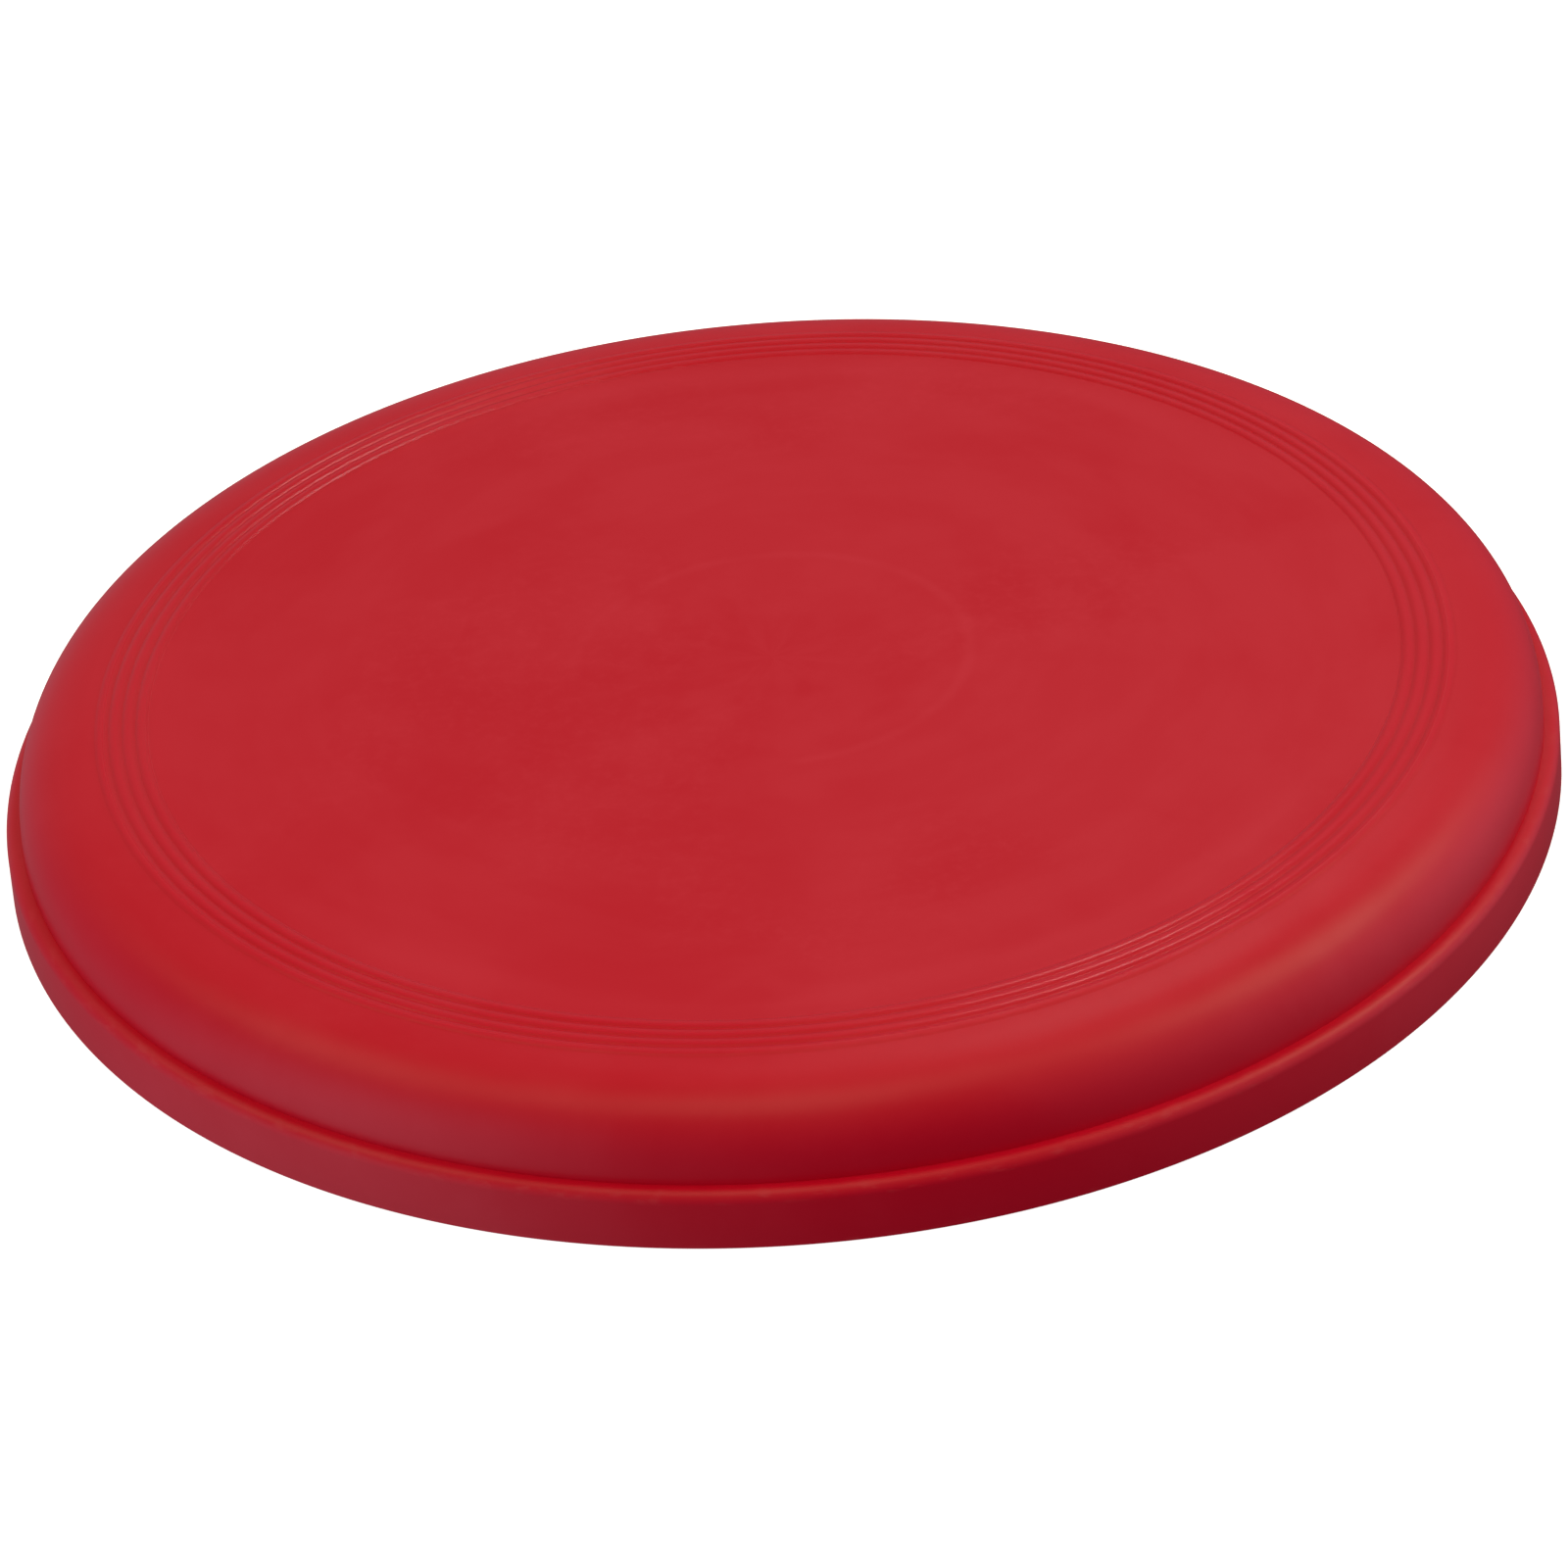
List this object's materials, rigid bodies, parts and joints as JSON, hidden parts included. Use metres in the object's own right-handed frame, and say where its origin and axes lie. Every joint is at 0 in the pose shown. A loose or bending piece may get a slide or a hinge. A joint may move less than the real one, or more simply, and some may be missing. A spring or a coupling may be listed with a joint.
{
  "type": "flying disc",
  "caption": "Round throwing disc moulded as one shallow shell, with a flat top, raised grip rings, a full shoulder, a stepped stacking rim and a hollow underside.",
  "frame": {"origin": "centre of the rim's foot, on the plane the disc rests on", "axes": "+Z is the disc's axis, from the open underside to the plate; X and Y are equivalent"},
  "size_m": [0.23, 0.23, 0.0209],
  "materials": {
    "red_plastic": "satin, very slightly mottled by the moulding flow"
  },
  "bodies": {
    "root": {"disc": "red_plastic"}
  },
  "joints": []
}
